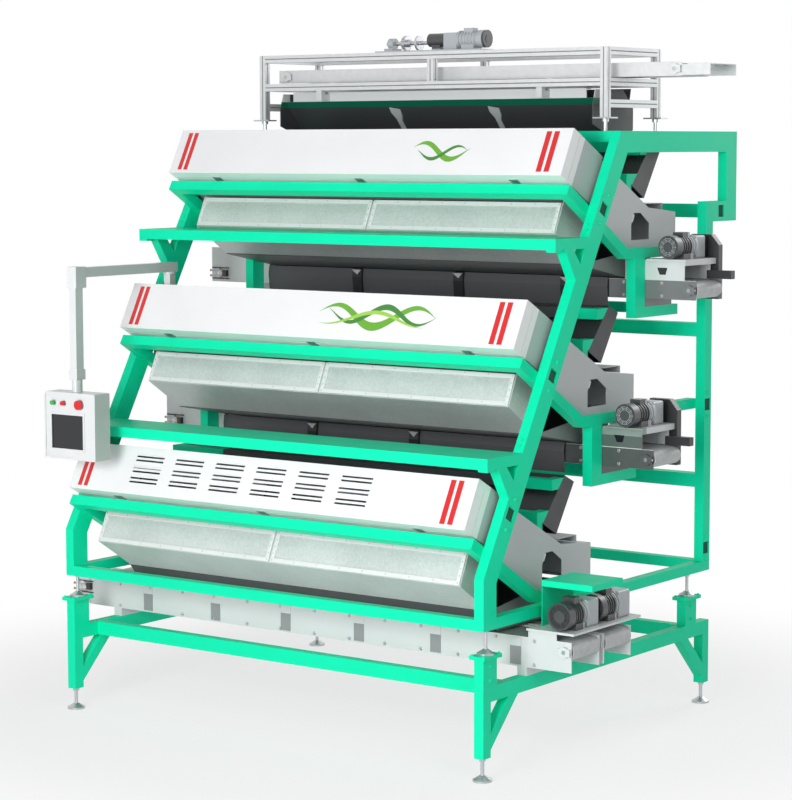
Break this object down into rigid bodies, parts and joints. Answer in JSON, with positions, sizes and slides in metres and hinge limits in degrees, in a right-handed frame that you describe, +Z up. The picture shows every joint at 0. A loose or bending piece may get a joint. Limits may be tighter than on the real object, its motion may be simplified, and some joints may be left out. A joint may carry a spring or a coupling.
{
  "type": "tea sorting machine",
  "caption": "Tiered optical tea sorting machine on a levelled stand, with hinged front doors, feed hoppers, belt conveyors, top feeder and a swinging operator console.",
  "frame": {"origin": "centre of the bounding box in plan, on the floor under the levelling feet", "axes": "+X to the right along the front, +Y to the rear, +Z up"},
  "size_m": [3.68, 2.923, 4.031],
  "materials": {
    "green_paint": "satin",
    "white_paint": "satin",
    "light_grey_paint": "satin",
    "charcoal_paint": "matt",
    "black_paint": "satin",
    "motor_grey": "satin",
    "galvanised": "brushed",
    "bright_steel": "brushed",
    "aluminium": "anodised",
    "belt_rubber": "matt",
    "lamp_glass": "clear",
    "screen_glass": "gloss",
    "button_green": "gloss",
    "button_red": "gloss"
  },
  "bodies": {
    "machine": {"belt_tensioners": "black_paint", "camera_units": "black_paint", "chain_guards": "black_paint", "chute_plates": "bright_steel", "collecting_hoppers": "charcoal_paint", "console_pedestal": "green_paint", "conveyor_belts": "belt_rubber", "conveyor_frame_1": "light_grey_paint", "conveyor_frame_2": "light_grey_paint", "conveyor_frame_3": "light_grey_paint", "conveyor_hangers": "green_paint", "cross_tubes": "green_paint", "door_hardware": "black_paint", "drive_cover": "green_paint", "drive_motors": "motor_grey", "ejector_bars": "aluminium", "feed_hoppers": "charcoal_paint", "feeder_trays": "bright_steel", "hopper_tubes": "green_paint", "lamp_bars": "lamp_glass", "levelling_feet": "bright_steel", "lower_boxes": "galvanised", "lower_panels": "galvanised", "optical_boxes": "light_grey_paint", "platform_frame": "green_paint", "rear_boxes": "light_grey_paint", "side_frame_left": "green_paint", "side_frame_right": "green_paint", "stand_frame": "green_paint", "step_rails": "green_paint", "stub_posts": "green_paint", "tier_brackets": "green_paint", "top_conveyor_frame": "aluminium", "top_feet": "bright_steel", "top_frame": "aluminium", "top_hopper": "charcoal_paint", "top_motor": "motor_grey"},
    "door_1": {"fascia_door_1": "white_paint"},
    "door_2": {"fascia_door_2": "white_paint"},
    "door_3": {"fascia_door_3": "white_paint"},
    "flap_1": {"flap_tray_1": "light_grey_paint"},
    "flap_2": {"flap_tray_2": "light_grey_paint"},
    "flap_3": {"flap_tray_3": "light_grey_paint"},
    "swing_arm": {"console_arm": "light_grey_paint"},
    "console": {"console_box": "light_grey_paint", "console_screen": "screen_glass"},
    "start_key": {"start_button": "button_green"},
    "stop_key": {"stop_button": "button_red"},
    "emergency_stop": {"estop_button": "button_red"},
    "top_shaft": {"sprocket_shaft": "bright_steel"},
    "drive_roller_1": {"drive_drum_1": "bright_steel"},
    "tail_roller_1": {"tail_drum_1": "bright_steel"},
    "drive_roller_2": {"drive_drum_2": "bright_steel"},
    "tail_roller_2": {"tail_drum_2": "bright_steel"},
    "drive_roller_3": {"drive_drum_3": "bright_steel"},
    "tail_roller_3": {"tail_drum_3": "bright_steel"},
    "drive_roller_4": {"drive_drum_4": "bright_steel"},
    "tail_roller_4": {"tail_drum_4": "bright_steel"},
    "drive_roller_top": {"top_drive_drum": "bright_steel"},
    "tail_roller_top": {"top_tail_drum": "bright_steel"}
  },
  "joints": [
    {"name": "door_1_hinge", "type": "hinge", "parent": "machine", "child": "door_1", "pos_m": [-0.025, -0.14797, 3.40724], "axis": [-1, 0, 0], "range_deg": [0, 60]},
    {"name": "door_2_hinge", "type": "hinge", "parent": "machine", "child": "door_2", "pos_m": [-0.025, -0.60397, 2.49124], "axis": [-1, 0, 0], "range_deg": [0, 60]},
    {"name": "door_3_hinge", "type": "hinge", "parent": "machine", "child": "door_3", "pos_m": [-0.025, -1.05997, 1.57523], "axis": [-1, 0, 0], "range_deg": [0, 20]},
    {"name": "flap_1_hinge", "type": "hinge", "parent": "machine", "child": "flap_1", "pos_m": [-0.025, 0.59922, 2.998], "axis": [1, 0, 0], "range_deg": [0, 45]},
    {"name": "flap_2_hinge", "type": "hinge", "parent": "machine", "child": "flap_2", "pos_m": [-0.025, 0.14322, 2.082], "axis": [1, 0, 0], "range_deg": [0, 45]},
    {"name": "flap_3_hinge", "type": "hinge", "parent": "machine", "child": "flap_3", "pos_m": [-0.025, -0.31278, 1.166], "axis": [1, 0, 0], "range_deg": [0, 45]},
    {"name": "drive_roller_1_spin", "type": "hinge", "parent": "machine", "child": "drive_roller_1", "pos_m": [1.707, 0.6555, 2.521], "axis": [0, 1, 0], "continuous": true},
    {"name": "tail_roller_1_spin", "type": "hinge", "parent": "machine", "child": "tail_roller_1", "pos_m": [-1.775, 0.6555, 2.521], "axis": [0, 1, 0], "continuous": true},
    {"name": "drive_roller_2_spin", "type": "hinge", "parent": "machine", "child": "drive_roller_2", "pos_m": [1.707, 0.1995, 1.605], "axis": [0, 1, 0], "continuous": true},
    {"name": "tail_roller_2_spin", "type": "hinge", "parent": "machine", "child": "tail_roller_2", "pos_m": [-1.775, 0.1995, 1.605], "axis": [0, 1, 0], "continuous": true},
    {"name": "drive_roller_3_spin", "type": "hinge", "parent": "machine", "child": "drive_roller_3", "pos_m": [1.719, -0.6625, 0.662], "axis": [0, 1, 0], "continuous": true},
    {"name": "tail_roller_3_spin", "type": "hinge", "parent": "machine", "child": "tail_roller_3", "pos_m": [-1.775, -0.6625, 0.662], "axis": [0, 1, 0], "continuous": true},
    {"name": "drive_roller_4_spin", "type": "hinge", "parent": "machine", "child": "drive_roller_4", "pos_m": [1.719, -0.3375, 0.662], "axis": [0, 1, 0], "continuous": true},
    {"name": "tail_roller_4_spin", "type": "hinge", "parent": "machine", "child": "tail_roller_4", "pos_m": [-1.775, -0.3375, 0.662], "axis": [0, 1, 0], "continuous": true},
    {"name": "drive_roller_top_spin", "type": "hinge", "parent": "machine", "child": "drive_roller_top", "pos_m": [1.619, 0.6265, 3.768], "axis": [0, 1, 0], "continuous": true},
    {"name": "tail_roller_top_spin", "type": "hinge", "parent": "machine", "child": "tail_roller_top", "pos_m": [-1.179, 0.6265, 3.768], "axis": [0, 1, 0], "continuous": true},
    {"name": "top_shaft_spin", "type": "hinge", "parent": "machine", "child": "top_shaft", "pos_m": [-0.205, 0.4365, 3.952], "axis": [1, 0, 0], "continuous": true},
    {"name": "console_arm_swing", "type": "hinge", "parent": "machine", "child": "swing_arm", "pos_m": [-1.26, -0.5635, 2.589], "axis": [0, 0, 1], "range_deg": [-90, 0]},
    {"name": "console_turn", "type": "hinge", "parent": "swing_arm", "child": "console", "pos_m": [-1.26, -1.3735, 1.928], "axis": [0, 0, 1], "range_deg": [-30, 30]},
    {"name": "start_key_press", "type": "slide", "parent": "console", "child": "start_key", "axis": [0, 1, 0], "range_m": [0, 0.004], "stiffness_N_per_m": 600, "springref_m": -0.001},
    {"name": "stop_key_press", "type": "slide", "parent": "console", "child": "stop_key", "axis": [0, 1, 0], "range_m": [0, 0.004], "stiffness_N_per_m": 600, "springref_m": -0.001},
    {"name": "emergency_stop_press", "type": "slide", "parent": "console", "child": "emergency_stop", "axis": [0, 1, 0], "range_m": [0, 0.005], "stiffness_N_per_m": 900, "springref_m": -0.001}
  ],
  "couplings": [
    {"joint": "tail_roller_1_spin", "follows": "drive_roller_1_spin", "ratio": 1},
    {"joint": "tail_roller_2_spin", "follows": "drive_roller_2_spin", "ratio": 1},
    {"joint": "tail_roller_3_spin", "follows": "drive_roller_3_spin", "ratio": 1},
    {"joint": "tail_roller_4_spin", "follows": "drive_roller_4_spin", "ratio": 1},
    {"joint": "tail_roller_top_spin", "follows": "drive_roller_top_spin", "ratio": 1}
  ]
}
